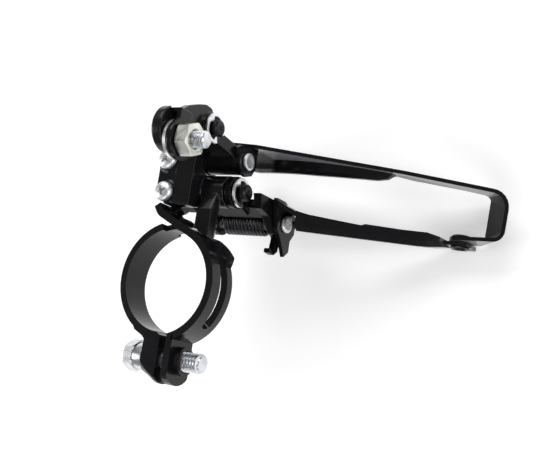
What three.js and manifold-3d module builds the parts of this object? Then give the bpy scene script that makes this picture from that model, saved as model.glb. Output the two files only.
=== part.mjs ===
// Front derailleur with a hinged band clamp, two parallel links and a chain cage.
// Millimetres. Origin on the axis of the seat tube, at the middle of the band.
// +X points forward on the bicycle, +Y to the rider's left, +Z up the seat tube.
import * as THREE from 'three';
import { mergeVertices } from 'three/addons/utils/BufferGeometryUtils.js';
import Module from 'manifold-3d';

const wasm = await Module();
wasm.setup();

// ---- driving dimensions ----
const GAP = 0.3;                                   // clearance between neighbouring pieces
const TUBE_R = 15.9;                               // 31.8 mm seat tube
const BAND_T = 2.3;                                // clamp band thickness
const FIXED = { x: 2.1, y: 0.9, half: 5.5 };       // fixed half: centre of its arc, half height
const STRAP = { half: 4.9, hook: -71 };            // strap: half height, angle of its hooked end
const BOLT = { y: 23.4, r: 3, head: 12.7, tip: -13.9 };
const EAR_R = 7.4;

const OUTER = { y: -46.9, z: 6 };                  // link pivots on the bracket
const INNER = { y: -30, z: -6 };
const LINK = { y: 5.9, z: -16 };                   // from a bracket pivot to its cage pivot
const CAGE_OUTER = { y: OUTER.y + LINK.y, z: OUTER.z + LINK.z };
const CAGE_INNER = { y: INNER.y + LINK.y, z: INNER.z + LINK.z };
const PIN_R = 2.6;
const RIVET_R = 2.2;
const RIVET_HEAD_R = 2.75;
const ANCHOR = { y: -37.9, z: 23.5, r: 2.5 };      // cable anchor on the arm of the outer link
const LOW_SCREW = { x: 7, y: -27, tip: -0.6 };
const HIGH_SCREW = { x: 7.5, y: -37.2, tip: -1.8 };
const SCREW = { r: 2, headR: 3.1, seat: 5, headH: 2.2 };

const SHEET = 1.2;                                 // cage sheet thickness
const OUTER_TOP = { x: -13.5, z: -10.4, slope: 0.3445 };   // the plate's straight top edge
const OUTER_LINE = [[4.5, -47.1], [-13.5, -45.55], [-57, -42.15], [-89, -38.77]];   // inboard face in plan
const RIB = { x: -29, z: -21.2, curve: 120 };      // crest of the pressed rib, an arc
// The wall across the tail leans back; the outer plate ends in a tab with an eye.
const TAIL = { top: -87.7, bottom: -80.3, z: -34.4, low: -42.2, lean: 3.5 };
const TAB = { y: -25.6, eye: 3.5, hole: { x: -73.8, z: -37.9, r: 2.4 } };
const BAR = { x: -31, z: -18.5, slope: 0.41, depth: 8.6 };
const SPRING = { r: 4.25, bore: 2.85, x0: -16.4, x1: 1.4 };

// ---- colours ----
const PAINT = { color: 0x17161a, roughness: 0.22, metalness: 0.1 };
const ZINC = { color: 0xc9ccd0, roughness: 0.3, metalness: 0.9 };
const STEEL = { color: 0x3a3a3e, roughness: 0.4, metalness: 0.8 };

// ---- solids ----
const group = new THREE.Group();

function solid(geometry) {
  const bare = geometry.clone();
  for (const name of Object.keys(bare.attributes)) if (name !== 'position') bare.deleteAttribute(name);
  const merged = mergeVertices(bare, 1e-4);
  const mesh = new wasm.Mesh({
    numProp: 3,
    vertProperties: new Float32Array(merged.attributes.position.array),
    triVerts: new Uint32Array(merged.index.array),
  });
  return new wasm.Manifold(mesh);
}

function addPart(name, shape, look) {
  const mesh = shape.getMesh();
  const geometry = new THREE.BufferGeometry();
  geometry.setAttribute('position', new THREE.BufferAttribute(new Float32Array(mesh.vertProperties), 3));
  geometry.setIndex(new THREE.BufferAttribute(new Uint32Array(mesh.triVerts), 1));
  geometry.computeVertexNormals();
  const part = new THREE.Mesh(geometry, new THREE.MeshStandardMaterial(look));
  part.name = name;
  group.add(part);
}

const AXES = {
  x: [new THREE.Vector3(0, 1, 0), new THREE.Vector3(0, 0, 1), new THREE.Vector3(1, 0, 0)],
  y: [new THREE.Vector3(0, 0, 1), new THREE.Vector3(1, 0, 0), new THREE.Vector3(0, 1, 0)],
  z: [new THREE.Vector3(1, 0, 0), new THREE.Vector3(0, 1, 0), new THREE.Vector3(0, 0, 1)],
};

// A flat outline carried along an axis. Along x it is drawn in (y, z), along z in (x, y).
function prism(axis, outline, from, to, curveSegments = 16) {
  const shape = outline instanceof THREE.Shape ? outline : polygon(outline);
  const geometry = new THREE.ExtrudeGeometry(shape, { depth: to - from, bevelEnabled: false, curveSegments });
  geometry.translate(0, 0, from);
  geometry.applyMatrix4(new THREE.Matrix4().makeBasis(...AXES[axis]));
  return solid(geometry);
}

function polygon(points) {
  return new THREE.Shape(points.map(([a, b]) => new THREE.Vector2(a, b)));
}

function box(x0, x1, y0, y1, z0, z1) {
  const geometry = new THREE.BoxGeometry(x1 - x0, y1 - y0, z1 - z0);
  geometry.translate((x0 + x1) / 2, (y0 + y1) / 2, (z0 + z1) / 2);
  return solid(geometry);
}

// A round bar along x, y or z, with its axis through the point (a, b) of the cross plane.
function rod(axis, a, b, r, from, to, sides = 28) {
  const circle = new THREE.Shape().absarc(a, b, r, 0, 2 * Math.PI, false);
  return prism(axis, circle, from, to, sides / 2);
}

function hexagon(axis, a, b, acrossFlats, from, to, turn = 0) {
  const r = acrossFlats / Math.sqrt(3);
  const corner = (i) => [a + r * Math.cos(turn + i * Math.PI / 3), b + r * Math.sin(turn + i * Math.PI / 3)];
  return prism(axis, [0, 1, 2, 3, 4, 5].map(corner), from, to);
}

function union(...parts) {
  return parts.reduce((sum, part) => sum.add(part));
}

function cut(base, ...tools) {
  return tools.reduce((rest, tool) => rest.subtract(tool), base);
}

// The outline round two circles.
function strapOutline(a, ra, b, rb) {
  const [dy, dz] = [b.y - a.y, b.z - a.z];
  const along = Math.atan2(dz, dy);
  const open = Math.acos((ra - rb) / Math.hypot(dy, dz));
  const shape = new THREE.Shape();
  shape.absarc(a.y, a.z, ra, along + open, along - open + 2 * Math.PI, false);
  shape.absarc(b.y, b.z, rb, along - open, along + open, false);
  return shape;
}

// A point of a link: so far along it from its bracket pivot, and so far towards outboard.
function onLink(pivot, along, out) {
  const length = Math.hypot(LINK.y, LINK.z);
  const [dy, dz] = [LINK.y / length, LINK.z / length];
  return [pivot.y + dy * along + dz * out, pivot.z + dz * along - dy * out];
}

// A polyline whose corners are rounded: corners is a list of [x, y, radius].
function roundedPath(corners, stepDeg = 12) {
  const path = [];
  corners.forEach(([x, y, radius], i) => {
    const here = new THREE.Vector2(x, y);
    if (!radius) return path.push(here);
    const back = new THREE.Vector2(corners[i - 1][0], corners[i - 1][1]).sub(here).normalize();
    const ahead = new THREE.Vector2(corners[i + 1][0], corners[i + 1][1]).sub(here).normalize();
    const half = Math.acos(THREE.MathUtils.clamp(back.dot(ahead), -1, 1)) / 2;
    const centre = back.clone().add(ahead).normalize().multiplyScalar(radius / Math.sin(half)).add(here);
    const start = back.clone().multiplyScalar(radius / Math.tan(half)).add(here).sub(centre);
    const side = Math.sign(back.cross(ahead));
    const turn = (Math.PI - 2 * half) * -side;
    const steps = Math.max(2, Math.ceil(Math.abs(turn) * 180 / Math.PI / stepDeg));
    for (let k = 0; k <= steps; k++) {
      path.push(start.clone().rotateAround(new THREE.Vector2(), turn * k / steps).add(centre));
    }
  });
  return path;
}

function pathNormals(path) {
  return path.map((p, i) => {
    const a = path[Math.max(i - 1, 0)];
    const b = path[Math.min(i + 1, path.length - 1)];
    const before = p.clone().sub(a).normalize();
    const after = b.clone().sub(p).normalize();
    const along = before.add(after).normalize();
    return new THREE.Vector2(along.y, -along.x);
  });
}

// A strip of sheet that follows a path in plan, on the path's right-hand side.
function ribbon(path, thickness, z0, z1) {
  const normals = pathNormals(path);
  const far = path.map((p, i) => p.clone().addScaledVector(normals[i], thickness)).reverse();
  return prism('z', new THREE.Shape([...path, ...far]), z0, z1);
}

// A solid through a list of closed sections that all have the same number of points.
function loft(sections) {
  const count = sections[0].length;
  const positions = sections.flat().flatMap((p) => [p.x, p.y, p.z]);
  const index = [];
  for (let s = 0; s + 1 < sections.length; s++) {
    for (let i = 0; i < count; i++) {
      const [a, b] = [s * count + i, s * count + (i + 1) % count];
      index.push(a, b, a + count, b, b + count, a + count);
    }
  }
  capLoft(sections, 0, index, true);
  capLoft(sections, sections.length - 1, index, false);
  if (signedVolume(positions, index) < 0) for (let i = 0; i < index.length; i += 3) {
    [index[i], index[i + 1]] = [index[i + 1], index[i]];
  }
  const geometry = new THREE.BufferGeometry();
  geometry.setAttribute('position', new THREE.Float32BufferAttribute(positions, 3));
  geometry.setIndex(index);
  return solid(geometry);
}

function capLoft(sections, at, index, first) {
  const ring = sections[at];
  const across = ring[0].clone().sub(ring[Math.floor(ring.length / 2)]).setZ(0);
  const widest = ring.reduce((best, p) => {
    const d = p.clone().sub(ring[0]).setZ(0);
    return d.length() > best.length() ? d : best;
  }, across).normalize();
  const flat = ring.map((p) => new THREE.Vector2(p.clone().sub(ring[0]).dot(widest), p.z));
  const faces = THREE.ShapeUtils.triangulateShape(flat, []);
  const turn = faces.reduce((sum, [a, b, c]) => sum + THREE.ShapeUtils.area([flat[a], flat[b], flat[c]]), 0);
  const same = Math.sign(turn) === Math.sign(THREE.ShapeUtils.area(flat));
  for (const face of faces) {
    const ordered = same !== first ? face : [...face].reverse();
    index.push(...ordered.map((i) => i + at * ring.length));
  }
}

function signedVolume(positions, index) {
  const point = (i) => new THREE.Vector3().fromArray(positions, 3 * i);
  let sum = 0;
  for (let i = 0; i < index.length; i += 3) {
    sum += point(index[i]).dot(point(index[i + 1]).cross(point(index[i + 2])));
  }
  return sum;
}

function mix(table, x) {
  const after = table.findIndex(([at]) => at <= x);
  if (after === 0) return table[0][1];
  if (after < 0) return table[table.length - 1][1];
  const [x0, v0] = table[after - 1];
  const [x1, v1] = table[after];
  return THREE.MathUtils.lerp(v0, v1, (x - x0) / (x1 - x0));
}

// ---- clamp ----
function arcPoints(cx, cy, r, fromDeg, toDeg, steps) {
  return Array.from({ length: steps + 1 }, (_, i) => {
    const a = THREE.MathUtils.degToRad(THREE.MathUtils.lerp(fromDeg, toDeg, i / steps));
    return new THREE.Vector2(cx + r * Math.cos(a), cy + r * Math.sin(a));
  });
}

// What rounds the end of an ear about the clamp bolt.
function earEnd(x0, x1) {
  const block = box(x0, x1, BOLT.y + 3, BOLT.y + 12, -8, 8);
  return block.subtract(rod('x', BOLT.y, 0, EAR_R, x0 - 1, x1 + 1));
}

const SLOT = { from: 144, to: 211, z: -0.8, half: 1.9 };

function clampFixedHalf() {
  const ear = { inside: -3, tip: BOLT.y + EAR_R };
  const arc = arcPoints(FIXED.x, FIXED.y, TUBE_R, 244, 107, 30);
  const flange = [[9.5, -22.2], [8.3, -20.4], [7.2, -19.3]].map(([x, y]) => new THREE.Vector2(x, y));
  const bend = [new THREE.Vector2(ear.inside - 0.1, 16.6), new THREE.Vector2(ear.inside, 18)];
  const path = [...flange, ...arc, ...bend, new THREE.Vector2(ear.inside, ear.tip)].reverse();
  const band = ribbon(path, BAND_T, -FIXED.half, FIXED.half);
  const wing = ribbon(arcPoints(FIXED.x, FIXED.y, TUBE_R, 203, 244, 12), BAND_T, -10.2, -FIXED.half + 1);
  const wingSlope = prism('x', [[-10.4, -10.3], [-2, -10.3], [-2, -5.3], [-6.2, -5.3]], -25, 3);
  const nut = rod('x', BOLT.y, 0, 4.3, -7.6, ear.inside - BAND_T + 0.5);
  const slotArc = arcPoints(FIXED.x, FIXED.y, TUBE_R - 2, SLOT.from, SLOT.to, 18);
  const slotEnd = rod('x', 0, SLOT.z, SLOT.half, TUBE_R - 2, TUBE_R + BAND_T + 2);
  const slotEnds = [SLOT.from, SLOT.to].map((deg) => (
    slotEnd.rotate([0, 0, deg]).translate([FIXED.x, FIXED.y, 0])
  ));
  const slot = union(ribbon(slotArc, BAND_T + 4, SLOT.z - SLOT.half, SLOT.z + SLOT.half), ...slotEnds);
  const window = box(-2.4, 6.6, -21.6, -13, -3.4, 3.4);
  return cut(
    union(band, wing.subtract(wingSlope), nut),
    earEnd(-9, 0), rod('x', BOLT.y, 0, BOLT.r + GAP, -10, 0), slot, window,
  );
}

function clampStrap() {
  const ear = { inside: -0.3, deep: 5.5 };
  const arc = arcPoints(0, 0, TUBE_R, STRAP.hook, 86, 34);
  const path = [
    ...arc, new THREE.Vector2(ear.inside + 0.1, 16.6), new THREE.Vector2(ear.inside, 17.8),
    new THREE.Vector2(ear.inside, BOLT.y + EAR_R),
  ];
  const shoulder = prism('z', [
    [0.5, 17.4], [2, 17], [7, 15.6], [11.2, 13.2], [9.6, 15.8], [6.6, 17.3],
    [ear.deep, 18.2], [ear.deep, 30.8], [0.5, 30.8],
  ], -STRAP.half, STRAP.half);
  const dish = box(2, 6, BOLT.y - 8, BOLT.y + 8, -3.2, 3.2).subtract(rod('x', BOLT.y, 0, 4.6, 1, 7));
  const band = ribbon(path, BAND_T - 0.2, -STRAP.half, STRAP.half);
  const tongue = ribbon([
    new THREE.Vector2(-0.6, -18.9), new THREE.Vector2(0.5, -17),
    ...arcPoints(0, 0, TUBE_R, STRAP.hook - 12, STRAP.hook + 3, 4),
  ], 1.7, -2.9, 2.9);
  const dome = new THREE.CylinderGeometry(4.9, EAR_R, 5.5, 40).rotateZ(-Math.PI / 2);
  const beyondDome = box(0.5, 6, BOLT.y, BOLT.y + 12, -8, 8).subtract(solid(dome.translate(3.25, BOLT.y, 0)));
  const boltHole = rod('x', BOLT.y, 0, BOLT.r + 0.5, -2, 7);
  return cut(union(band, shoulder, tongue), earEnd(-1, 6), beyondDome, boltHole, dish);
}

function clampBolt() {
  return union(
    hexagon('x', BOLT.y, 0, 8.6, 9.8, BOLT.head),
    rod('x', BOLT.y, 0, BOLT.r, BOLT.tip, 10),
  );
}

function clampCollar() {
  return cut(rod('x', BOLT.y, 0, 4.2, 5.8, 9.5), rod('x', BOLT.y, 0, BOLT.r + GAP, 5, 12));
}

// ---- bracket ----
function bodyBracket() {
  const outerBarrel = rod('x', OUTER.y, OUTER.z, 5.5, -2, 7, 40);
  const innerBarrel = rod('x', INNER.y, INNER.z, 5.1, -10, 5.4, 40);
  const rib = prism('x', [
    [-46.9, 3], [-43, 1.4], [-38.5, -0.6], [-35, -2.5], [-33, -6], [-24.9, -6], [-23.4, 0.4], [-23.4, 4.6],
    [-38.6, 4.6], [-42, 9.4], [-45, 11],
  ], -1.9, 4.4);
  const table = prism('z', [
    [-1.9, -42.4], [6.4, -42.4], [9.6, -40.2], [11, -37.2], [11, -27], [9.4, -23.6], [-1.9, -23.6],
  ], 0.3, 4.4);
  const neckSide = prism('x', [
    [-30, -1.6], [-23, 1.3], [-10, 1.3], [-10, -8], [-20, -9], [-25, -7.6], [-30, -8],
  ], -8.6, -3.2);
  const neck = neckSide.intersect(prism('y', [
    [2, -8.6], [2, -3.2], [-9.5, -3.2], [-9.5, -4.4], [-2.5, -8.6],
  ], -31, -9));
  const frontBoss = cut(rod('z', 6.4, -25.6, 4, -4.6, 0.5), rod('x', INNER.y, INNER.z, 5.3, 5.6, 12));
  const seats = [LOW_SCREW, HIGH_SCREW].map((s) => rod('z', s.x, s.y, 3.7, 0.3, SCREW.seat - GAP, 28));
  const seatPath = [
    new THREE.Vector2(10.8, -24.5), new THREE.Vector2(8.3, -20.4), new THREE.Vector2(7.2, -19.3),
    ...arcPoints(FIXED.x, FIXED.y, TUBE_R, 244, 170, 18),
  ].reverse();
  const bandSeat = ribbon(seatPath, BAND_T + GAP, -20, 20);
  const inside = prism('z', new THREE.Shape([...seatPath, new THREE.Vector2(12, 0)]), -20, 20);
  return cut(
    union(rib, table, outerBarrel, innerBarrel, ...seats, neck, frontBoss),
    bandSeat, inside,
    rod('x', OUTER.y, OUTER.z, PIN_R + GAP, -3, 8),
    rod('x', INNER.y, INNER.z, PIN_R + GAP, -11, 6),
    ...[LOW_SCREW, HIGH_SCREW].map((s) => rod('z', s.x, s.y, SCREW.r + GAP, -1, 8)),
  );
}

function pivotPin(pivot, headX, groove, tip) {
  const headEnd = headX + 1.6;
  const shank = rod('x', pivot.y, pivot.z, PIN_R, tip, headEnd);
  const neck = cut(rod('x', pivot.y, pivot.z, PIN_R + 1, groove - 1.4, groove),
    rod('x', pivot.y, pivot.z, PIN_R - 0.6, groove - 2, groove + 1));
  return union(shank.subtract(neck), rod('x', pivot.y, pivot.z, 4.1, headX, headEnd));
}

// An open retaining ring in the groove of a pivot pin.
function pivotClip(pivot, groove) {
  const ring = rod('x', pivot.y, pivot.z, 4.65, groove - 1.1, groove - 0.3, 32);
  const eye = rod('x', pivot.y, pivot.z, PIN_R - 0.6 + GAP, groove - 2, groove + 1);
  const mouth = prism('x', [
    [pivot.y, pivot.z - 1.7], [pivot.y + 6, pivot.z - 2.4],
    [pivot.y + 6, pivot.z + 2.4], [pivot.y, pivot.z + 1.7],
  ], groove - 2, groove + 1);
  const atOrigin = mouth.translate([0, -pivot.y, -pivot.z]);
  return cut(ring, eye, atOrigin.rotate([-50, 0, 0]).translate([0, pivot.y, pivot.z]));
}

function limitScrew(s) {
  const top = SCREW.seat + SCREW.headH;
  const head = rod('z', s.x, s.y, SCREW.headR, SCREW.seat, top, 28);
  const recess = [[2, 0.45], [0.45, 2]].map(([a, b]) => (
    box(s.x - a, s.x + a, s.y - b, s.y + b, top - 1.3, top + 1)
  ));
  return cut(union(head, rod('z', s.x, s.y, SCREW.r, s.tip, SCREW.seat + 0.1, 24)), ...recess);
}

// ---- links ----
// A plate of a link: its outline is in x and the distance along the link, its thickness runs outboard.
function linkSlab(pivot, outline, outFrom, outTo) {
  const [dy, dz] = onLink({ y: 0, z: 0 }, 1, 0);
  const depth = outTo - outFrom;
  const geometry = new THREE.ExtrudeGeometry(polygon(outline), { depth, bevelEnabled: false });
  geometry.translate(0, 0, -outTo);
  geometry.applyMatrix4(new THREE.Matrix4().makeBasis(
    new THREE.Vector3(1, 0, 0), new THREE.Vector3(0, dy, dz), new THREE.Vector3(0, -dz, dy),
  ));
  geometry.translate(0, pivot.y, pivot.z);
  return solid(geometry);
}

const ARM = { front: -3.4, back: -7 };
const BOSS = { y: -40.9, z: 23.8, r: 6.9, front: -3.1 };
const TAB_SLOT = { front: -5, y: -45.2 };
const OUTER_BACK = -9.8;

function outerLink() {
  const knuckle = rod('x', OUTER.y, OUTER.z, 5.7, -6.2, -2.3, 36);
  const rearRim = rod('x', OUTER.y, OUTER.z, 4.8, -7.6, -6.1, 36);
  const arm = prism('x', strapOutline(OUTER, 5.2, BOSS, 6.4), ARM.back + 0.6, ARM.front, 8);
  const back = prism('x', [
    [-46, 22], [-48.8, 19.6], [-50.6, 17], [-52.4, 12.6], [-53.5, 9], [-53.2, 6], [-50, 3.4], [-44, 6], [-40, 20],
  ], ARM.back + 0.6, ARM.front);
  const boss = union(
    rod('x', BOSS.y, BOSS.z, BOSS.r, ARM.back, BOSS.front - 0.9, 36),
    rod('x', BOSS.y, BOSS.z, BOSS.r - 1.3, BOSS.front - 1, BOSS.front, 36),
  );
  const web = linkSlab(OUTER, [
    [-6.4, 1], [-7, 5], [OUTER_BACK, 13.5], [OUTER_BACK, 16.5], [2, 16.5], [2, 8.4], [-2.4, 7.6], [-2.4, 1],
  ], -1.6, 2.6);
  const barrel = rod('x', CAGE_OUTER.y, CAGE_OUTER.z, 4.3, OUTER_BACK, 2, 32);
  return cut(
    union(knuckle, rearRim, arm, back, boss, web, barrel),
    rod('x', OUTER.y, OUTER.z, PIN_R + GAP, -12, 4),
    rod('x', CAGE_OUTER.y, CAGE_OUTER.z, RIVET_R + 0.5, -12, 4),
    rod('x', ANCHOR.y, ANCHOR.z, ANCHOR.r + GAP, -12, 4),
    rod('x', ANCHOR.y, ANCHOR.z, 3 + GAP, BOSS.front - 1.6, 0),
    box(-8, TAB_SLOT.front - GAP + 0.6, BOSS.y - 9, TAB_SLOT.y, ANCHOR.z - 2.9, ANCHOR.z + 3.3),
  );
}

const FRONT_EAR = [6, 9.6];
const REAR_EAR = [-12.7, -10.4];
const REAR_PLATE = [-19.7, -16.9];
const FRONT_KNUCKLE = [1.8, 4.8];

function innerLink() {
  const web = linkSlab(INNER, [
    [REAR_PLATE[0], 6], [REAR_EAR[0] - 0.1, 5.6], [FRONT_EAR[1], 5.6], [FRONT_EAR[1], 9],
    [FRONT_KNUCKLE[1], 12], [REAR_PLATE[0], 12],
  ], -1.4, 1.8);
  const leg = ([x0, x1], from, to) => linkSlab(INNER, [[x0, from], [x1, from], [x1, to], [x0, to]], -2.6, 2.6);
  const stopLug = prism('x', [
    [INNER.y + 1, INNER.z + 4.2], [INNER.y - 6.8, INNER.z - 3.2],
    [INNER.y - 5, INNER.z - 6.4], [INNER.y, INNER.z - 3],
  ], ...FRONT_EAR);
  const frontEar = union(rod('x', INNER.y, INNER.z, 5, ...FRONT_EAR, 32), leg(FRONT_EAR, 2, 8.5), stopLug);
  const rearEar = union(rod('x', INNER.y, INNER.z, 5, ...REAR_EAR, 32), leg(REAR_EAR, 2, 9));
  const rearPlate = prism('x', [
    [-30.6, -7.6], [-26.2, -9.4], [-25, -14], [-20.4, -19.4], [-19.6, -22], [-21, -25.6], [-24.1, -26.5],
    [-27.6, -25.3], [-30.6, -17],
  ], ...REAR_PLATE);
  const finger = prism('x', [
    [-21, -24.2], [-15.4, -23.6], [-13.9, -21.6], [-14.2, -18.4],
    [-15.6, -18.4], [-15.9, -21.2], [-21, -21.6],
  ], REAR_PLATE[0] + 0.5, REAR_PLATE[1] - 0.2);
  const frontKnuckle = union(
    rod('x', CAGE_INNER.y, CAGE_INNER.z, 4.5, ...FRONT_KNUCKLE), leg(FRONT_KNUCKLE, 10, 17),
  );
  return cut(
    union(web, frontEar, rearEar, rearPlate, finger, frontKnuckle),
    rod('x', INNER.y, INNER.z, PIN_R + GAP, REAR_EAR[0] - 0.1, 12),
    rod('x', CAGE_INNER.y, CAGE_INNER.z, RIVET_R + GAP, -25, 12),
  );
}

function springSleeve() {
  const sleeve = rod('x', CAGE_INNER.y, CAGE_INNER.z, SPRING.r, SPRING.x0, SPRING.x1, 24);
  return sleeve.subtract(rod('x', CAGE_INNER.y, CAGE_INNER.z, SPRING.bore, SPRING.x0 - 1, SPRING.x1 + 1, 24));
}

// ---- cage ----
function outerTopZ(x) {
  return OUTER_TOP.z - OUTER_TOP.slope * Math.max(0, OUTER_TOP.x - x);
}

const OUTER_NOSE = [[4.5, -6.5], [3.6, -2.8], [1.5, -0.8], [-2, 0]];
const OUTER_BOTTOM = [
  [4.5, -31.5], [3, -35.5], [0, -37.2], [-10, -35.2], [-25, -33.4], [-42, -32.8], [-49, -32], [-54, -29.8],
  [-58, -33], [-70, -36.4], [-78, -39.2], [-79.6, -41.2], [-80.3, TAIL.low],
];
const RIB_DEPTH = [
  [4.5, 0], [2, 1.4], [-1, 3.2], [-5, 3.9], [-30, 3.8], [-40, 3.3], [-49, 2.6], [-52, 1.7], [-54, 0],
];

// Section of the outer plate: distance inboard of its outboard face, and height.
function outerSection(x, top, bottom) {
  const depth = mix(RIB_DEPTH, x);
  const crest = Math.max(bottom + 3.6, Math.min(top - 0.6, RIB.z - (x - RIB.x) ** 2 / RIB.curve));
  const small = Math.min(1, depth);
  const low = Math.max(crest - 4.6, bottom + 0.4);
  return [
    [SHEET, top], [SHEET, crest], [SHEET + depth - small * 0.9, crest - 0.3], [SHEET + depth, crest - 1.4],
    [SHEET + depth, crest - 2.6], [SHEET, low], [SHEET, bottom],
    [0, bottom], [0, low - 0.3], [depth, crest - 2.9], [depth, crest - 2.2],
    [depth - small * 0.5, crest - 1.6], [0, crest - 1.3], [0, top],
  ];
}

// The plate's top and bottom edges in plan: along the outboard side, across the tail and forward as a tab.
const STATIONS = [
  4.5, 3.6, 2, 0, -3, -6, -10, -13.5, -17, -21, -25, -29, -33, -37, -41,
  -45, -49, -52, -54, -58, -62, -66, -70, -74,
];

function outerPlateEdge(lean, rear, radius, tabRear, tabRadius) {
  const onSide = (x) => {
    const sheared = x + lean * mix([[-60, 0], [-76, 1]], x);
    return new THREE.Vector2(sheared, mix(OUTER_LINE, sheared));
  };
  const start = onSide(-76);
  const tail = roundedPath([
    [start.x, start.y, 0], [rear, mix(OUTER_LINE, rear), radius], [tabRear, TAB.y, tabRadius],
    [TAB.hole.x, TAB.y, 0], [TAB.hole.x + TAB.eye, TAB.y, 0],
  ], 15);
  return [...STATIONS.map(onSide), ...tail];
}

function cageOuterPlate() {
  const top = outerPlateEdge(0, TAIL.top, 5, TAIL.top + 0.8, 2.2);
  const bottom = outerPlateEdge(TAIL.lean, TAIL.bottom, 1.5, TAIL.bottom + 0.7, 1.2);
  const [topNormals, bottomNormals] = [pathNormals(top), pathNormals(bottom)];
  const sections = top.map((p, i) => {
    const atTail = i > STATIONS.length;
    const turned = bottom[i].y > mix(OUTER_LINE, TAIL.bottom) + 1;
    const x = atTail ? TAIL.top : p.x;
    const topZ = atTail ? TAIL.z : outerTopZ(x) + mix(OUTER_NOSE, x);
    const bottomZ = turned ? TAIL.low : mix(OUTER_BOTTOM, bottom[i].x);
    return outerSection(x, topZ, bottomZ).map(([n, z]) => {
      const down = (topZ - z) / (topZ - bottomZ);
      const at = p.clone().lerp(bottom[i], down);
      at.addScaledVector(topNormals[i].clone().lerp(bottomNormals[i], down).normalize(), n - SHEET);
      return new THREE.Vector3(at.x, at.y, z);
    });
  });
  const ear = (x0, edge) => prism('x', [
    [-44.2, -4.3], [-42.4, -5], [-39.2, -5.4], [-36.8, -7.8], [-36.3, -10.6], [-37.4, -13.8], [-40, -15.4],
    [edge, -15.4], [edge, -11.2], [-46.2, -9.6], [-45.2, -5.2],
  ], x0, x0 + SHEET);
  const hole = rod('x', CAGE_OUTER.y, CAGE_OUTER.z, RIVET_R + GAP, -14, 5);
  const tabEnd = box(TAB.hole.x, -68, TAB.y - 1, TAB.y + 1.4, -46, -30)
    .subtract(rod('y', TAB.hole.z, TAB.hole.x, TAB.eye, -30, -20, 36));
  return cut(union(loft(sections), ear(-11.4, -46.4), ear(2.3, -47.8)), hole, tabEnd, tailHole());
}

function tailHole() {
  return rod('y', TAB.hole.z, TAB.hole.x, TAB.hole.r, -30, -18);
}

const BAR_EDGE = [
  [-28, -27.6], [-31, -26.9], [-40, -26.1], [-46.4, -25.6], [-47.4, -26.1],
  [-58, -25.8], [-65, -25.9], [-68.4, -25.1],
  [-69.9, -24.1],
];

function barSection(x) {
  const top = BAR.z - BAR.slope * (BAR.x - x);
  const edge = mix(BAR_EDGE, x);
  const base = Math.max(top - BAR.depth, -43.2);
  const round = mix([[-66, 0], [-69, 0.5], [-70.2, 1.2]], x);
  const inward = mix([[-64, 0], [-69.6, 0.9]], x);
  return [
    [edge + inward, top - round], [-23, top - 0.2 - round], [-21.6, top - 1.9 - round], [-22.5, base],
    [-23.9, base], [-23.1, top - 2.6 - round], [-23.6, top - 1.7 - round],
    [edge + inward, top - 1.4 - round],
  ].map(([y, z]) => new THREE.Vector3(x, y - inward, z));
}

function cageInnerPlate() {
  const bar = loft([-27.4, -31, -36, -41, -46.4, -47.4, -52, -58, -62, -65, -68.4, -69.9].map(barSection));
  const endTab = prism('y', [
    [-34.8, -69.6], [-42.9, -69.6], [-43.4, -72], [-43.4, -76.9],
    [-38.5, -77.1], [-36, -76.4], [-34.8, -74.4],
  ], TAB.y + SHEET + GAP, TAB.y + 2 * SHEET + GAP);
  const oblique = new THREE.Shape([
    [-21.2, -30.4], [-23.4, -29.2], [-30, -26.3], [-34, -25.2],
    [-33.6, -23.8], [-29.4, -24.9], [-24, -27.4], [-21.2, -28.8],
  ].map(([x, y]) => new THREE.Vector2(x, y)));
  const gusset = prism('z', oblique, -27.6, -15.2).subtract(prism('y', [
    [-15, -21], [-15.4, -22.8], [-18.6, -31.6], [-20.6, -36], [-10, -36], [-10, -21],
  ], -35, -20));
  const backEar = prism('x', [
    [-31, -15], [-28.4, -15], [-21.8, -17.4], [-19.4, -20], [-16.6, -22.2], [-14, -24],
    [-16, -26.4], [-19.6, -26.4], [-22, -28.4], [-26.5, -28.6], [-29, -26], [-31, -20],
  ], -21.4, -20.1);
  const nose = prism('y', [
    [-27.4, -22.1], [-27.4, 6.5], [-31, 6.5], [-34, 4.6], [-35.4, 0], [-34.6, -12],
    [-32, -22.1], [-29.5, -30], [-27, -30], [-27, -22.1],
  ], -26.4, -25);
  const frontEar = prism('x', strapOutline(CAGE_INNER, 4.4, { y: -25.6, z: -29 }, 1.6), 5.1, 6.5, 10);
  return cut(
    union(bar, endTab, gusset, backEar, nose, frontEar),
    rod('x', CAGE_INNER.y, CAGE_INNER.z, RIVET_R + GAP, -25, 8),
    tailHole(),
  );
}

function pivotRivet(pivot, from, to) {
  return union(
    rod('x', pivot.y, pivot.z, RIVET_R, from, to, 24),
    rod('x', pivot.y, pivot.z, RIVET_HEAD_R, from - 0.9, from + 0.01, 28),
    rod('x', pivot.y, pivot.z, RIVET_HEAD_R, to - 0.01, to + 0.9, 28),
  );
}

function tailEyelet() {
  const { x, z, r } = TAB.hole;
  const inboard = TAB.y + 2 * SHEET + 2 * GAP;
  const outside = union(
    rod('y', z, x, r - GAP, TAB.y - 0.8, inboard + 0.4, 28),
    rod('y', z, x, 3, TAB.y - 0.8, TAB.y - GAP, 32),
    rod('y', z, x, 3, inboard, inboard + 0.4, 32),
  );
  return outside.subtract(rod('y', z, x, 1.6, -30, -20, 24));
}

// ---- cable anchor ----
const PLATE = { r: 6.1, front: -8.8, back: -10.4 };

function anchorBolt() {
  return union(
    rod('x', ANCHOR.y, ANCHOR.z, ANCHOR.r, -18.9, BOSS.front - 1, 24),
    rod('x', ANCHOR.y, ANCHOR.z, 3, BOSS.front - 1.3, BOSS.front - 0.3, 24),
  );
}

function anchorWasher() {
  return cut(rod('x', ANCHOR.y, ANCHOR.z, 5.9, PLATE.front + 0.3, ARM.back - 0.3, 32),
    rod('x', ANCHOR.y, ANCHOR.z, ANCHOR.r + GAP, -20, 5));
}

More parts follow.
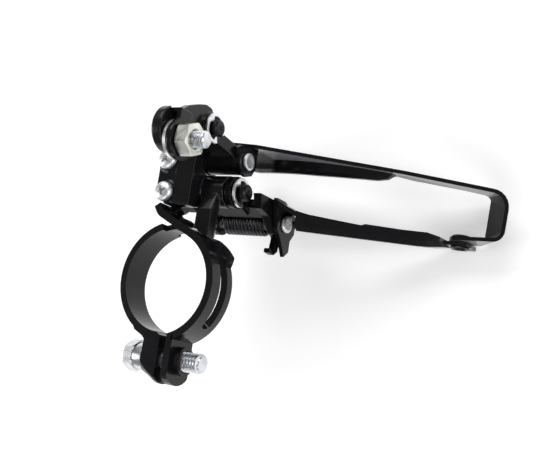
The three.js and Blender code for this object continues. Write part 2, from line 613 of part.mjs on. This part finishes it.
// The disc that presses on the cable, with a tab folded forward over the arm.
function anchorPlate() {
  const disc = rod('x', ANCHOR.y, ANCHOR.z, PLATE.r, PLATE.back, PLATE.front, 32);
  const top = TAB_SLOT.y - GAP;
  const neck = box(PLATE.back, PLATE.front, top - 1, ANCHOR.y - 3, ANCHOR.z - 2.6, ANCHOR.z + 3);
  const tab = box(PLATE.back, TAB_SLOT.front, top - 1.2, top, ANCHOR.z - 2.6, ANCHOR.z + 3);
  return cut(union(disc, neck, tab), rod('x', ANCHOR.y, ANCHOR.z, ANCHOR.r + GAP, -20, 5));
}

function anchorNut() {
  return cut(hexagon('x', ANCHOR.y, ANCHOR.z, 9, -15, PLATE.back - 0.3, 0.12),
    rod('x', ANCHOR.y, ANCHOR.z, ANCHOR.r + GAP, -20, 5));
}

// ---- assembly ----
addPart('clamp_fixed_half', clampFixedHalf(), PAINT);
addPart('clamp_strap', clampStrap(), PAINT);
addPart('clamp_bolt', clampBolt(), ZINC);
addPart('clamp_bolt_collar', clampCollar(), ZINC);
addPart('body_bracket', bodyBracket(), PAINT);
addPart('outer_pivot_pin', pivotPin(OUTER, 7.3, -7.8, -10.6), STEEL);
addPart('outer_pivot_clip', pivotClip(OUTER, -7.8), ZINC);
addPart('inner_pivot_pin', pivotPin(INNER, 9.9, -12.9, -16.4), STEEL);
addPart('inner_pivot_clip', pivotClip(INNER, -12.9), ZINC);
addPart('low_limit_screw', limitScrew(LOW_SCREW), ZINC);
addPart('high_limit_screw', limitScrew(HIGH_SCREW), ZINC);
addPart('outer_link', outerLink(), PAINT);
addPart('inner_link', innerLink(), PAINT);
addPart('return_spring', springSleeve(), STEEL);
addPart('cage_outer_plate', cageOuterPlate(), PAINT);
addPart('cage_inner_plate', cageInnerPlate(), PAINT);
addPart('outer_cage_rivet', pivotRivet(CAGE_OUTER, -11.7, 3.8), ZINC);
addPart('inner_cage_rivet', pivotRivet(CAGE_INNER, -21.7, 6.8), ZINC);
addPart('cage_tail_eyelet', tailEyelet(), STEEL);
addPart('cable_anchor_bolt', anchorBolt(), ZINC);
addPart('cable_anchor_washer', anchorWasher(), ZINC);
addPart('cable_clamp_plate', anchorPlate(), PAINT);
addPart('cable_anchor_nut', anchorNut(), ZINC);

export default group;
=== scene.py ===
"""Front derailleur: gloss black band clamp, bracket, links and chain cage with bright zinc fasteners."""
import bpy
import bmesh
import math
from mathutils import Matrix, Vector

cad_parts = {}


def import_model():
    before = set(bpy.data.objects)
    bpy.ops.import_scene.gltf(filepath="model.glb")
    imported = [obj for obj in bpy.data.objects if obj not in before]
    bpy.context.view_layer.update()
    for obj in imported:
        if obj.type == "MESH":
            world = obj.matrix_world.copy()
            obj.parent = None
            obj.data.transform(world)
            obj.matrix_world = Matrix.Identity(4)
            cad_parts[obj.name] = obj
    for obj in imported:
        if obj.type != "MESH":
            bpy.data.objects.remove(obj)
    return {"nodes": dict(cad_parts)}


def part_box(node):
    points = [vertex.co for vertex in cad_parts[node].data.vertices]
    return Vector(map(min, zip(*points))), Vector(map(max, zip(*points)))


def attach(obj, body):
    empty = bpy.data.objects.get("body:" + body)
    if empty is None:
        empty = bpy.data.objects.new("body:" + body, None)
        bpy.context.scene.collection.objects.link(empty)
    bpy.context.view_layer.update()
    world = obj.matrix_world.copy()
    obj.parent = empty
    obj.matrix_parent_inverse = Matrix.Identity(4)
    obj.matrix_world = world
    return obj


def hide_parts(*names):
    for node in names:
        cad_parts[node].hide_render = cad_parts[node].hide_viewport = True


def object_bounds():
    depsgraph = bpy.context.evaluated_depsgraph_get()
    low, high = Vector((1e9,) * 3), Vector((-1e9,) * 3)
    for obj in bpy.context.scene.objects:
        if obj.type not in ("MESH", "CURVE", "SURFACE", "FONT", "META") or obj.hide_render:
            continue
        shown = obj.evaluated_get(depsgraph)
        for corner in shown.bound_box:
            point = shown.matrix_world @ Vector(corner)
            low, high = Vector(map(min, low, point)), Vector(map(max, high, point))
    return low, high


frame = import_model()
cad_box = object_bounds()
MM = 0.001

# ---- sizes shared with the frame, in millimetres ----
BOLT_Y, BOLT_R = 23.4, 3.0
OUTER = (-46.9, 6.0)
INNER = (-30.0, -6.0)
CAGE_OUTER = (-41.0, -10.0)
CAGE_INNER = (-24.1, -22.0)
ANCHOR = (-37.9, 23.5)
LOW = (7.0, -27.0)
HIGH = (7.5, -37.2)


# ---- mesh helpers ----
def add_object(name, verts, faces, material, smooth=True):
    mesh = bpy.data.meshes.new(name)
    mesh.from_pydata([Vector(v) * MM for v in verts], [], faces)
    work = bmesh.new()
    work.from_mesh(mesh)
    bmesh.ops.remove_doubles(work, verts=work.verts, dist=1e-7)
    bmesh.ops.recalc_face_normals(work, faces=work.faces)
    work.to_mesh(mesh)
    work.free()
    obj = bpy.data.objects.new(name, mesh)
    bpy.context.scene.collection.objects.link(obj)
    mesh.materials.append(material)
    if smooth:
        smooth_by_angle(obj)
    return obj


def smooth_by_angle(obj, degrees=38):
    """Smooth shading, with the edges sharper than the angle kept crisp."""
    mesh = obj.data
    mesh.polygons.foreach_set("use_smooth", [True] * len(mesh.polygons))
    mesh.set_sharp_from_angle(angle=math.radians(degrees))


def place(axis, a, b):
    """Turns a point made round +Z into one round the given axis, whose line passes (a, b)."""
    if axis == "x":
        return lambda u, v, w: (w, a + u, b + v)
    if axis == "y":
        return lambda u, v, w: (a + u, w, b + v)
    return lambda u, v, w: (a + u, b + v, w)


def lathe(profile, axis, a, b, sides=56):
    """Verts and faces of a turned piece: profile is a list of (radius, distance along the axis)."""
    to = place(axis, a, b)
    verts, faces = [], []
    for r, w in profile:
        for i in range(sides):
            t = 2 * math.pi * i / sides
            verts.append(to(r * math.cos(t), r * math.sin(t), w))
    for k in range(len(profile) - 1):
        for i in range(sides):
            j = (i + 1) % sides
            faces.append((k * sides + i, k * sides + j, (k + 1) * sides + j, (k + 1) * sides + i))
    return verts, faces


def closed_lathe(profile, axis, a, b, sides=56):
    return lathe(profile + [profile[0]], axis, a, b, sides)


def joined(*shapes):
    verts, faces = [], []
    for v, f in shapes:
        base = len(verts)
        verts += v
        faces += [tuple(i + base for i in face) for face in f]
    return verts, faces


def thread(axis, a, b, r, start, end, pitch, sides=48):
    """A threaded rod from start to end, on a grid that follows the helix, with closed and chamfered ends."""
    to = place(axis, a, b)
    profile = [(0.0, 1.0), (0.16, 1.0), (0.46, 0.0), (0.66, 0.0)]     # share of a pitch, height of the ridge
    root = r - 0.72 * pitch
    length = abs(end - start)
    way = (end - start) / length
    rows = (int(length / pitch) + 2) * len(profile)
    verts, faces = [], []
    for k in range(rows):
        turn, (phase, lift) = k // len(profile), profile[k % len(profile)]
        for i in range(sides):
            t = 2 * math.pi * i / sides
            w = min(length, max(0.0, pitch * (turn + phase + i / sides - 1)))
            ends = min(w, length - w)
            crest = min(r, root + ends + 0.05)
            rr = min(crest, root + (r - root) * lift)
            if w in (0.0, length):
                rr = root
            verts.append(to(rr * math.cos(t), rr * math.sin(t), start + way * w))
    for k in range(rows - 1):
        for i in range(sides):
            j, a_row, b_row = i + 1, k, k + 1
            if j == sides:
                j, a_row, b_row = 0, k + len(profile), k + 1 + len(profile)
            if b_row < rows:
                faces.append((k * sides + i, a_row * sides + j, b_row * sides + j, (k + 1) * sides + i))
    faces.append(tuple(range(sides)))
    faces.append(tuple((rows - 1) * sides + i for i in range(sides)))
    return verts, faces


def hexagon(axis, a, b, flats, start, end, turn=0.0, bore=0.0, seat_chamfer=1.0, sides=72):
    """A hexagon head or nut; seat_chamfer scales the chamfer of its start face, bore is its hole's radius."""
    to = place(axis, a, b)
    top = flats / 2 * 0.97
    low, high = min(start, end), max(start, end)

    def ring(radius_of, w_of):
        out = []
        for i in range(sides):
            t = 2 * math.pi * i / sides
            sector = (t - turn + math.pi / 6) % (math.pi / 3) - math.pi / 6
            corner = flats / 2 / math.cos(math.pi / 6 - abs(sector))
            r = radius_of(corner)
            out.append(to(r * math.cos(t), r * math.sin(t), w_of(corner)))
        return out

    def drop(corner):
        return (corner - top) * 0.55
    rings = [
        ring(lambda c: bore, lambda c: low + (0.3 if bore else 0)),
        ring(lambda c: bore + (0.35 if bore else 0.01), lambda c: low),
        ring(lambda c: top, lambda c: low),
        ring(lambda c: c, lambda c: low + drop(c) * seat_chamfer + 0.02),
        ring(lambda c: c, lambda c: high - drop(c)),
        ring(lambda c: top, lambda c: high),
        ring(lambda c: bore + (0.35 if bore else 0.01), lambda c: high),
        ring(lambda c: bore, lambda c: high - (0.3 if bore else 0)),
    ]
    if bore:
        rings.append(rings[0])
    verts = [v for r in rings for v in r]
    faces = []
    for k in range(len(rings) - 1):
        for i in range(sides):
            j = (i + 1) % sides
            faces.append((k * sides + i, k * sides + j, (k + 1) * sides + j, (k + 1) * sides + i))
    return verts, faces


def sweep(points, r, sides=14):
    """A round wire along a list of points, with domed ends."""
    pts = [Vector(p) for p in points]
    verts, faces = [], []
    side = None
    for k, p in enumerate(pts):
        along = (pts[min(k + 1, len(pts) - 1)] - pts[max(k - 1, 0)]).normalized()
        if side is None:
            side = along.orthogonal().normalized()
        side = (side - along * side.dot(along)).normalized()
        up = along.cross(side)
        rr = r * (0.6 if k in (0, len(pts) - 1) else 1)
        for i in range(sides):
            t = 2 * math.pi * i / sides
            verts.append(tuple(p + side * rr * math.cos(t) + up * rr * math.sin(t)))
    for k in range(len(pts) - 1):
        for i in range(sides):
            j = (i + 1) % sides
            faces.append((k * sides + i, k * sides + j, (k + 1) * sides + j, (k + 1) * sides + i))
    faces.append(tuple(range(sides)))
    faces.append(tuple((len(pts) - 1) * sides + i for i in range(sides)))
    return verts, faces


def prism(axis, outline, start, end):
    """A flat outline carried along an axis."""
    to = place(axis, 0, 0)
    n = len(outline)
    verts = [to(u, v, start) for u, v in outline] + [to(u, v, end) for u, v in outline]
    faces = [tuple(range(n)), tuple(range(2 * n - 1, n - 1, -1))]
    faces += [(i, (i + 1) % n, n + (i + 1) % n, n + i) for i in range(n)]
    return verts, faces


def carve(obj, *cutters):
    """Cuts closed shapes out of a piece and keeps the result as its mesh."""
    tools = []
    for i, (verts, faces) in enumerate(cutters):
        tool = add_object(f"cutter_{i}", verts, faces, obj.data.materials[0], smooth=False)
        mod = obj.modifiers.new(f"cut_{i}", "BOOLEAN")
        mod.object = tool
        mod.operation = "DIFFERENCE"
        mod.solver = "EXACT"
        tools.append(tool)
    graph = bpy.context.evaluated_depsgraph_get()
    result = bpy.data.meshes.new_from_object(obj.evaluated_get(graph))
    obj.modifiers.clear()
    obj.data = result
    for tool in tools:
        bpy.data.objects.remove(tool)
    smooth_by_angle(obj)


def soften(obj, width=0.22, segments=2, degrees=35):
    mod = obj.modifiers.new("edge", "BEVEL")
    mod.width = width * MM
    mod.segments = segments
    mod.limit_method = "ANGLE"
    mod.angle_limit = math.radians(degrees)
    mod.harden_normals = True


def stand_for(obj, node, body, bevel=0.0):
    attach(obj, body)
    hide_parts(node)
    if bevel:
        soften(obj, bevel)
    return obj


# ---- materials ----
def new_material(name):
    mat = bpy.data.materials.new(name)
    mat.use_nodes = True
    tree = mat.node_tree
    tree.nodes.clear()
    out = tree.nodes.new("ShaderNodeOutputMaterial")
    shader = tree.nodes.new("ShaderNodeBsdfPrincipled")
    tree.links.new(shader.outputs["BSDF"], out.inputs["Surface"])
    coords = tree.nodes.new("ShaderNodeTexCoord")
    return mat, tree, shader, coords.outputs["Object"]


def noise(tree, coords, scale, detail=3.0, rough=0.5):
    node = tree.nodes.new("ShaderNodeTexNoise")
    node.inputs["Scale"].default_value = scale
    node.inputs["Detail"].default_value = detail
    node.inputs["Roughness"].default_value = rough
    tree.links.new(coords, node.inputs["Vector"])
    return node.outputs["Fac"]


def spread(tree, value, low, high, to_low, to_high):
    node = tree.nodes.new("ShaderNodeMapRange")
    node.inputs["From Min"].default_value = low
    node.inputs["From Max"].default_value = high
    node.inputs["To Min"].default_value = to_low
    node.inputs["To Max"].default_value = to_high
    tree.links.new(value, node.inputs["Value"])
    return node.outputs["Result"]


def ramp(tree, value, stops):
    node = tree.nodes.new("ShaderNodeValToRGB")
    while len(node.color_ramp.elements) < len(stops):
        node.color_ramp.elements.new(0.5)
    for element, (at, colour) in zip(node.color_ramp.elements, stops):
        element.position = at
        element.color = (*colour, 1)
    tree.links.new(value, node.inputs["Fac"])
    return node.outputs["Color"]


def bump(tree, shader, height, distance, strength=1.0):
    node = tree.nodes.new("ShaderNodeBump")
    node.inputs["Distance"].default_value = distance
    node.inputs["Strength"].default_value = strength
    tree.links.new(height, node.inputs["Height"])
    tree.links.new(node.outputs["Normal"], shader.inputs["Normal"])


def dusty(tree, coords, base):
    """The paint's colour, a little lighter where fine dust lies."""
    dust = noise(tree, coords, 1400, 3, 0.6)
    return ramp(tree, dust, [(0.0, base), (0.62, base), (0.8, tuple(2.2 * c for c in base))])


def gloss(tree, shader, coords, rough, peel):
    """Uneven gloss and orange peel."""
    cloud = noise(tree, coords, 160, 4, 0.6)
    tree.links.new(spread(tree, cloud, 0.3, 0.7, rough - 0.05, rough + 0.08), shader.inputs["Roughness"])
    bump(tree, shader, noise(tree, coords, 700, 2, 0.5), peel * MM)


def paint(name, base, rough, peel, ior):
    """Stoved gloss paint."""
    mat, tree, shader, coords = new_material(name)
    tree.links.new(dusty(tree, coords, base), shader.inputs["Base Color"])
    shader.inputs["IOR"].default_value = ior
    gloss(tree, shader, coords, rough, peel)
    return mat


def arithmetic(tree, operation, *values):
    node = tree.nodes.new("ShaderNodeMath")
    node.operation = operation
    node.use_clamp = operation in ("MULTIPLY", "GREATER_THAN", "LESS_THAN")
    for socket, value in zip(node.inputs, values):
        if isinstance(value, (int, float)):
            socket.default_value = value
        else:
            tree.links.new(value, socket)
    return node.outputs[0]


def split(tree, vector):
    node = tree.nodes.new("ShaderNodeSeparateXYZ")
    tree.links.new(vector, node.inputs["Vector"])
    return node.outputs


def cage_paint(name, base, rough, peel):
    """The paint of the outer cage plate: a light grey painted reflection of the floor above the rib inside,
    duller inside the tail wall.
    """
    mat, tree, shader, coords = new_material(name)
    x, _, z = split(tree, coords)
    normal = tree.nodes.new("ShaderNodeNewGeometry").outputs["Normal"]
    normal_x, normal_y, _ = split(tree, normal)

    from_mid = arithmetic(tree, "SUBTRACT", x, RIB_MID_X * MM)
    sag = arithmetic(tree, "MULTIPLY", from_mid, arithmetic(tree, "DIVIDE", from_mid, RIB_CURVE * MM))
    crest = arithmetic(tree, "SUBTRACT", RIB_TOP_Z * MM, sag)
    # Painted reflection: on the inboard face above the rib crest, behind the ear, a light grey is painted in
    # place of the floor's reflection.
    above = spread(tree, arithmetic(tree, "SUBTRACT", z, crest), 0, 0.4 * MM, 0, 1)
    inboard = spread(tree, normal_y, 0.8, 0.95, 0, 1)
    behind_ear = spread(tree, x, -12.5 * MM, -14 * MM, 0, 1)
    painted_reflection = arithmetic(tree, "MULTIPLY", arithmetic(tree, "MULTIPLY", above, inboard), behind_ear)
    patchy = spread(tree, noise(tree, coords, 500, 4, 0.6), 0.2, 0.6, 0.85, 1)
    blend = tree.nodes.new("ShaderNodeMix")
    blend.data_type = "RGBA"
    tree.links.new(arithmetic(tree, "MULTIPLY", painted_reflection, patchy), blend.inputs["Factor"])
    tree.links.new(dusty(tree, coords, base), blend.inputs["A"])
    blend.inputs["B"].default_value = (*PAINTED_REFLECTION_GREY, 1)
    tree.links.new(blend.outputs["Result"], shader.inputs["Base Color"])

    at_tail = spread(tree, x, -77 * MM, -79 * MM, 0, 1)
    facing_forward = spread(tree, normal_x, 0.25, 0.5, 0, 1)
    dull = arithmetic(tree, "MULTIPLY", at_tail, facing_forward)
    tree.links.new(spread(tree, dull, 0, 1, PAINT_IOR, 1.12), shader.inputs["IOR"])
    gloss(tree, shader, coords, rough, peel)
    return mat


def metal(name, dark, light, rough, depth=0.0012):
    """Plated or bare steel with a fine grain and cloudy tint."""
    mat, tree, shader, coords = new_material(name)
    tint = ramp(tree, noise(tree, coords, 260, 4, 0.6), [(0.35, dark), (0.65, light)])
    tree.links.new(tint, shader.inputs["Base Color"])
    shader.inputs["Metallic"].default_value = 1.0
    fine = noise(tree, coords, 700, 3, 0.6)
    tree.links.new(spread(tree, fine, 0.3, 0.7, rough - 0.06, rough + 0.1), shader.inputs["Roughness"])
    bump(tree, shader, fine, depth * MM)
    return mat


PAINT_IOR = 1.36
GLOSS_BLACK = (0.0062, 0.006, 0.0072)
# a light grey painted reflection of the floor, for the cage plate's inboard face above the rib
PAINTED_REFLECTION_GREY = (0.26, 0.25, 0.27)
RIB_MID_X, RIB_TOP_Z, RIB_CURVE = -29, -21.2, 120     # the crest of the pressed rib, an arc

BLACK = paint("gloss_black_paint", GLOSS_BLACK, 0.13, 0.012, PAINT_IOR)
CAST = paint("cast_black_paint", (0.0066, 0.0064, 0.0075), 0.17, 0.02, PAINT_IOR)
CAGE = cage_paint("cage_black_paint", GLOSS_BLACK, 0.13, 0.012)
LINK = paint("link_black_paint", (0.0042, 0.004, 0.005), 0.16, 0.014, 1.21)
ZINC = metal("bright_zinc", (0.58, 0.6, 0.63), (0.8, 0.81, 0.82), 0.26)
NUT_ZINC = metal("yellowed_zinc", (0.6, 0.62, 0.56), (0.78, 0.79, 0.73), 0.3)
CLIP = metal("clip_zinc", (0.78, 0.79, 0.81), (0.93, 0.93, 0.93), 0.3)
DARK = metal("black_oxide", (0.012, 0.012, 0.014), (0.04, 0.04, 0.043), 0.36)
HEAD_ZINC = metal("satin_zinc", (0.7, 0.72, 0.74), (0.9, 0.91, 0.92), 0.42)
WIRE = metal("spring_wire", (0.02, 0.02, 0.023), (0.06, 0.06, 0.066), 0.24, depth=0.001)


# ---- carried-over frame pieces ----
def carry(node, material, bevel=0.0, voxel=0.0, smooth=6):
    obj = frame["nodes"][node]
    obj.data.materials.clear()
    obj.data.materials.append(material)
    smooth_by_angle(obj, 34)
    if voxel:
        mod = obj.modifiers.new("cast", "REMESH")
        mod.mode = "VOXEL"
        mod.voxel_size = voxel * MM
        mod.use_smooth_shade = True
        fair = obj.modifiers.new("fair", "SMOOTH")
        fair.iterations = smooth
        fair.factor = 0.5
    elif bevel:
        soften(obj, bevel)
    return obj


for name in ("body_bracket", "outer_link"):
    carry(name, CAST, voxel=0.24)
carry("inner_link", LINK, voxel=0.22, smooth=4)
carry("cage_outer_plate", CAGE, bevel=0.28)
for name in ("clamp_fixed_half", "clamp_strap", "cage_inner_plate"):
    carry(name, BLACK, bevel=0.28)
carry("cable_clamp_plate", BLACK, voxel=0.16, smooth=5)


# ---- clamp bolt ----
def clamp_bolt():
    head = hexagon("x", BOLT_Y, 0, 8.6, 9.6, 12.7, seat_chamfer=0.05)
    shank = lathe([(0, 10), (BOLT_R - 0.1, 10), (BOLT_R - 0.1, 4), (0, 4)], "x", BOLT_Y, 0)
    screw = thread("x", BOLT_Y, 0, BOLT_R, 4.4, -13.9, 1.0)
    obj = add_object("clamp_bolt_detail", *joined(head, shank, screw), ZINC)
    return stand_for(obj, "clamp_bolt", "bolt")


def turned(name, profile, axis, a, b, material, node, body, slot, sides=56):
    obj = add_object(name, *closed_lathe(profile, axis, a, b, sides), material)
    return stand_for(obj, node, body)


def collar():
    r, edge = 4.2, 0.45
    profile = [
        (BOLT_R + 0.3, 5.8), (r - edge, 5.8), (r, 5.8 + edge), (r, 8.6), (r - 0.25, 9.5), (BOLT_R + 0.3, 9.5),
    ]
    return turned(
        "clamp_bolt_collar_detail", profile, "x", BOLT_Y, 0, ZINC, "clamp_bolt_collar", "collar", "zinc")


# ---- pivots ----
def pin(name, pivot, head, groove, tip):
    r = 2.6
    a, b = pivot
    profile = [
        (0, head + 1.6), (3.4, head + 1.6), (4.1, head + 1.0), (4.1, head + 0.3), (3.9, head), (r, head),
        (r, groove), (r - 0.6, groove), (r - 0.6, groove - 1.4), (r, groove - 1.4), (r, tip + 0.5),
        (r - 0.5, tip), (0.9, tip), (0.5, tip + 0.35), (0, tip + 0.4),
    ]
    obj = add_object(f"{name}_detail", *lathe(profile, "x", a, b, 48), DARK)
    return stand_for(obj, name, "bracket")


def clip(name, pivot, groove, turn):
    """An E-shaped retaining ring: outer rim with a mouth and three inner lobes."""
    a, b = pivot
    outer, rim, lobe = 4.6, 3.6, 2.3
    gap = math.radians(26)
    steps = 64
    out, inner = [], []
    for i in range(steps + 1):
        t = gap + (2 * math.pi - 2 * gap) * i / steps
        near = min(abs(t - c) for c in (gap + 0.1, math.pi, 2 * math.pi - gap - 0.1))
        r = lobe if near < 0.16 else rim if near > 0.36 else lobe + (rim - lobe) * (near - 0.16) / 0.2
        out.append((outer * math.cos(t), outer * math.sin(t)))
        inner.append((r * math.cos(t), r * math.sin(t)))
    outline = [
        (a + u * math.cos(turn) - v * math.sin(turn), b + u * math.sin(turn) + v * math.cos(turn))
        for u, v in out + inner[::-1]
    ]
    n = steps + 1
    to = place("x", 0, 0)
    verts = [to(u, v, groove - 1.1) for u, v in outline] + [to(u, v, groove - 0.3) for u, v in outline]
    m = 2 * n
    faces = []
    for i in range(n - 1):
        j = m - 1 - i
        faces.append((i, i + 1, j - 1, j))
        faces.append((m + i, m + j, m + j - 1, m + i + 1))
    faces += [(i, (i + 1) % m, m + (i + 1) % m, m + i) for i in range(m)]
    obj = add_object(f"{name}_detail", verts, faces, CLIP)
    return stand_for(obj, name, "bracket", bevel=0.12)


def rivet(name, pivot, rear, front):
    """A rivet with a shallow dished head at its rear end and a domed one in front."""
    a, b = pivot
    r, head = 2.2, 2.75
    profile = [
        (0, rear - 0.72), (1.3, rear - 0.74), (1.5, rear - 0.82), (2.35, rear - 0.88),
        (head - 0.08, rear - 0.72), (head, rear - 0.45), (head, rear), (r, rear), (r, front),
        (head, front), (head, front + 0.35), (2.2, front + 0.8), (0, front + 0.9),
    ]
    obj = add_object(f"{name}_detail", *lathe(profile, "x", a, b, 48), HEAD_ZINC)
    stake_marks = []
    for k in range(6):
        angle = math.pi * (k / 3 + 0.1)
        c, s = math.cos(angle), math.sin(angle)
        wedge = [(0.6, -0.08), (1.9, -0.18), (1.9, 0.18), (0.6, 0.08)]
        outline = [(a + u * c - v * s, b + u * s + v * c) for u, v in wedge]
        stake_marks.append(prism("x", outline, rear - 1.2, rear - 0.6))
    carve(obj, *stake_marks)
    return stand_for(obj, name, "cage")


# ---- limit screws ----
def limit_screw(name, centre, tip, turn, body):
    x, y = centre
    seat, top, r = 5.0, 7.2, 3.1
    profile = [
        (0, top), (1.2, top - 0.03), (2.1, top - 0.2), (2.8, top - 0.65), (r, top - 1.2), (r, seat + 0.15),
        (r - 0.15, seat), (1.9, seat), (1.9, seat - 0.3), (0, seat - 0.3),
    ]
    head = add_object(f"{name}_detail", *lathe(profile, "z", x, y, 64), HEAD_ZINC)
    arms = []
    for k in range(2):
        angle = turn + k * math.pi / 2
        c, s = math.cos(angle), math.sin(angle)
        half, wide = 1.95, 0.42
        ring = [(-half, -wide), (half, -wide), (half, wide), (-half, wide)]
        low = [(u * 0.35, v * 0.6) for u, v in ring]
        verts = [(x + u * c - v * s, y + u * s + v * c, top + 0.4) for u, v in ring]
        verts += [(x + u * c - v * s, y + u * s + v * c, top - 1.7) for u, v in low]
        faces = [(0, 1, 2, 3), (7, 6, 5, 4)] + [(i, 4 + i, 4 + (i + 1) % 4, (i + 1) % 4) for i in range(4)]
        arms.append((verts, faces))
    carve(head, *arms)
    shank = add_object(f"{name}_thread", *thread("z", x, y, 2.0, seat - 0.2, tip, 0.7, 32), ZINC)
    shank.parent = head
    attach(head, body)
    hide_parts(name)
    return head


# ---- cable anchor ----
def anchor_bolt():
    a, b = ANCHOR
    shank = lathe([(0, -4.3), (2.45, -4.3), (2.45, -9), (0, -9)], "x", a, b)
    head = lathe([(0, -3.55), (2.2, -3.5), (2.8, -3.7), (3.0, -4.0), (3.0, -4.4), (0, -4.4)], "x", a, b)
    screw = thread("x", a, b, 2.5, -8.8, -18.9, 0.8, 36)
    obj = add_object("cable_anchor_bolt_detail", *joined(shank, head, screw), ZINC)
    return stand_for(obj, "cable_anchor_bolt", "outer_arm")


def anchor_nut():
    obj = add_object(
        "cable_anchor_nut_detail", *hexagon("x", *ANCHOR, 9.0, -15.0, -10.7, turn=0.12, bore=2.75), NUT_ZINC)
    return stand_for(obj, "cable_anchor_nut", "anchor_nut")


def anchor_washer():
    profile = [(2.8, -8.5), (5.7, -8.5), (5.9, -8.35), (5.9, -7.45), (5.7, -7.3), (2.8, -7.3)]
    return turned(
        "cable_anchor_washer_detail", profile, "x", *ANCHOR, CLIP, "cable_anchor_washer", "outer_arm", "zinc")


# ---- return spring ----
def return_spring():
    """A close-wound coil round the inner cage pivot."""
    y, z = CAGE_INNER
    wire, mean = 0.63, 3.55
    start, end, turns = 0.2, -15.0, 11.5
    points = []
    steps = int(turns * 28)
    for i in range(steps + 1):
        t = i / steps
        angle = math.radians(60) + 2 * math.pi * turns * t
        points.append((start + (end - start) * t, y + mean * math.cos(angle), z + mean * math.sin(angle)))
    obj = add_object("return_spring_coil", *sweep(points, wire), WIRE)
    return stand_for(obj, "return_spring", "inner_arm")


def eyelet():
    """A tubular rivet: its rims are rolled over the two tabs of the tail."""
    low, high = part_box("cage_tail_eyelet")
    x, z = (low[0] + high[0]) / 2 / MM, (low[2] + high[2]) / 2 / MM
    outboard, inboard = low[1] / MM, high[1] / MM
    bore, wall, rim = 1.65, 2.08, 2.95
    profile = [
        (bore, inboard - 1.0), (bore + 0.12, inboard - 0.4), (wall, inboard - 0.1), (rim - 0.4, inboard),
        (rim, inboard - 0.2), (rim - 0.1, inboard - 0.5), (wall, inboard - 0.55), (wall, outboard + 0.65),
        (rim - 0.1, outboard + 0.65), (rim, outboard + 0.3), (rim - 0.4, outboard), (wall, outboard + 0.1),
        (bore + 0.1, outboard + 0.4), (bore, outboard + 1.0),
    ]
    obj = add_object("cage_tail_eyelet_detail", *closed_lathe(profile, "y", x, z, 48), BLACK)
    return stand_for(obj, "cage_tail_eyelet", "cage")


clamp_bolt()
collar()
pin("outer_pivot_pin", OUTER, 7.3, -7.8, -10.6)
pin("inner_pivot_pin", INNER, 9.9, -12.9, -16.4)
clip("outer_pivot_clip", OUTER, -7.8, math.radians(-50))
clip("inner_pivot_clip", INNER, -12.9, math.radians(-50))
rivet("outer_cage_rivet", CAGE_OUTER, -11.7, 3.8)
rivet("inner_cage_rivet", CAGE_INNER, -21.7, 6.8)
limit_screw("low_limit_screw", LOW, -0.6, 0.35, "low_screw")
limit_screw("high_limit_screw", HIGH, -1.8, 0.9, "high_screw")
anchor_bolt()
anchor_nut()
anchor_washer()
return_spring()
eyelet()


# ---- stage, light and camera ----
CENTRE = (-0.03, -0.02, 0)                            # where the side, front and fill lights aim, in metres
CAMERA_AT = (-178.2, 32.0, 246.3)
CAMERA_AXES = (                                       # the camera's right, up and back
    (-0.86195, -0.14885, -0.48465), (0.04111, -0.9733, 0.22581), (-0.50533, 0.17471, 0.84506),
)


def floor_material(name, colour, glow):
    """A faintly glowing matt floor, as on a light table."""
    mat, tree, shader, coords = new_material(name)
    tint = ramp(tree, noise(tree, coords, 6, 3), [(0.3, tuple(0.985 * c for c in colour)), (0.7, colour)])
    tree.links.new(tint, shader.inputs["Base Color"])
    shader.inputs["Roughness"].default_value = 0.9
    tree.links.new(tint, shader.inputs["Emission Color"])
    shader.inputs["Emission Strength"].default_value = glow
    return mat


def floor():
    low = cad_box[0][2] - 0.6 * MM
    half = 2.5
    mesh = bpy.data.meshes.new("floor")
    corners = [(-half, -half, low), (half, -half, low), (half, half, low), (-half, half, low)]
    mesh.from_pydata(corners, [], [(0, 1, 2, 3)])
    obj = bpy.data.objects.new("floor", mesh)
    mesh.materials.append(floor_material("pale_floor", (0.95, 0.95, 0.955), 0.3))
    bpy.context.scene.collection.objects.link(obj)


def softbox(name, place_at, aim, size, power):
    data = bpy.data.lights.new(name, "AREA")
    data.shape = "RECTANGLE"
    data.size, data.size_y = size
    data.energy = power
    obj = bpy.data.objects.new(name, data)
    obj.location = place_at
    obj.rotation_mode = "QUATERNION"
    obj.rotation_quaternion = (Vector(aim) - Vector(place_at)).to_track_quat("-Z", "Y")
    bpy.context.scene.collection.objects.link(obj)


def world(strength):
    made = bpy.data.worlds.new("studio")
    made.use_nodes = True
    background = made.node_tree.nodes["Background"]
    background.inputs["Color"].default_value = (1, 1, 1, 1)
    background.inputs["Strength"].default_value = strength
    bpy.context.scene.world = made


def camera():
    data = bpy.data.cameras.new("camera")
    data.sensor_width = 36
    data.lens = 65.53
    data.clip_start, data.clip_end = 0.01, 20
    obj = bpy.data.objects.new("camera", data)
    right, up, back = CAMERA_AXES
    turn = Matrix((right, up, back)).transposed().to_4x4()
    obj.matrix_world = Matrix.Translation(Vector(CAMERA_AT) * MM) @ turn
    bpy.context.scene.collection.objects.link(obj)
    bpy.context.scene.camera = obj


floor()
world(0.2)
softbox("key", (0.15, -1.0, 0.75), (0, -0.02, 0), (1.2, 0.7), 9)
softbox("side", (-1.15, 0.15, 0.55), CENTRE, (0.6, 1.0), 6.5)
softbox("front", (1.05, 0.2, 0.5), CENTRE, (0.5, 1.0), 5.5)
softbox("fill", (-0.1, 1.1, 0.7), CENTRE, (1.0, 0.5), 5)
camera()
bpy.context.scene.view_settings.view_transform = "Standard"
